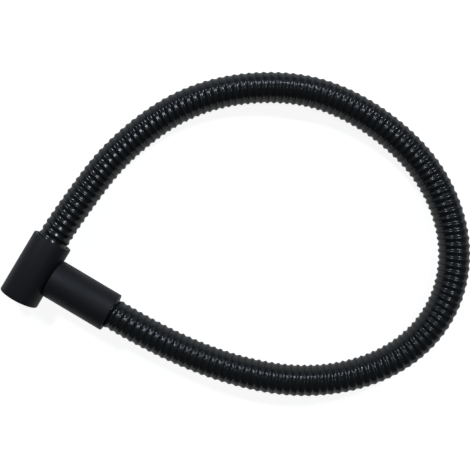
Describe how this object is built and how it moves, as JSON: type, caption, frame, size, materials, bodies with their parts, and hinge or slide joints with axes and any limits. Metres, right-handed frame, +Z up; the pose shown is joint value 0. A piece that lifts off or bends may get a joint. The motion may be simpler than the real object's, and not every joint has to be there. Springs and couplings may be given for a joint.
{
  "type": "scrubber suction hose",
  "caption": "Corrugated black suction hose for a floor scrubber, lying in an open loop, with a smooth soft cuff on each end for the tank and the squeegee.",
  "frame": {"origin": "on the floor, under the middle of the box round both cuffs", "axes": "+Z up from the floor the part lies on; +Y along the tank cuff from its mouth to its hose; +X along the squeegee cuff from its mouth to its hose"},
  "size_m": [0.6068, 0.5258, 0.06],
  "materials": {
    "hose_plastic": "glossy black flexible plastic, corrugated",
    "cuff_rubber": "satin black soft moulding"
  },
  "bodies": {
    "root": {"suction_hose": "hose_plastic", "tank_cuff": "cuff_rubber", "squeegee_cuff": "cuff_rubber"}
  },
  "joints": []
}
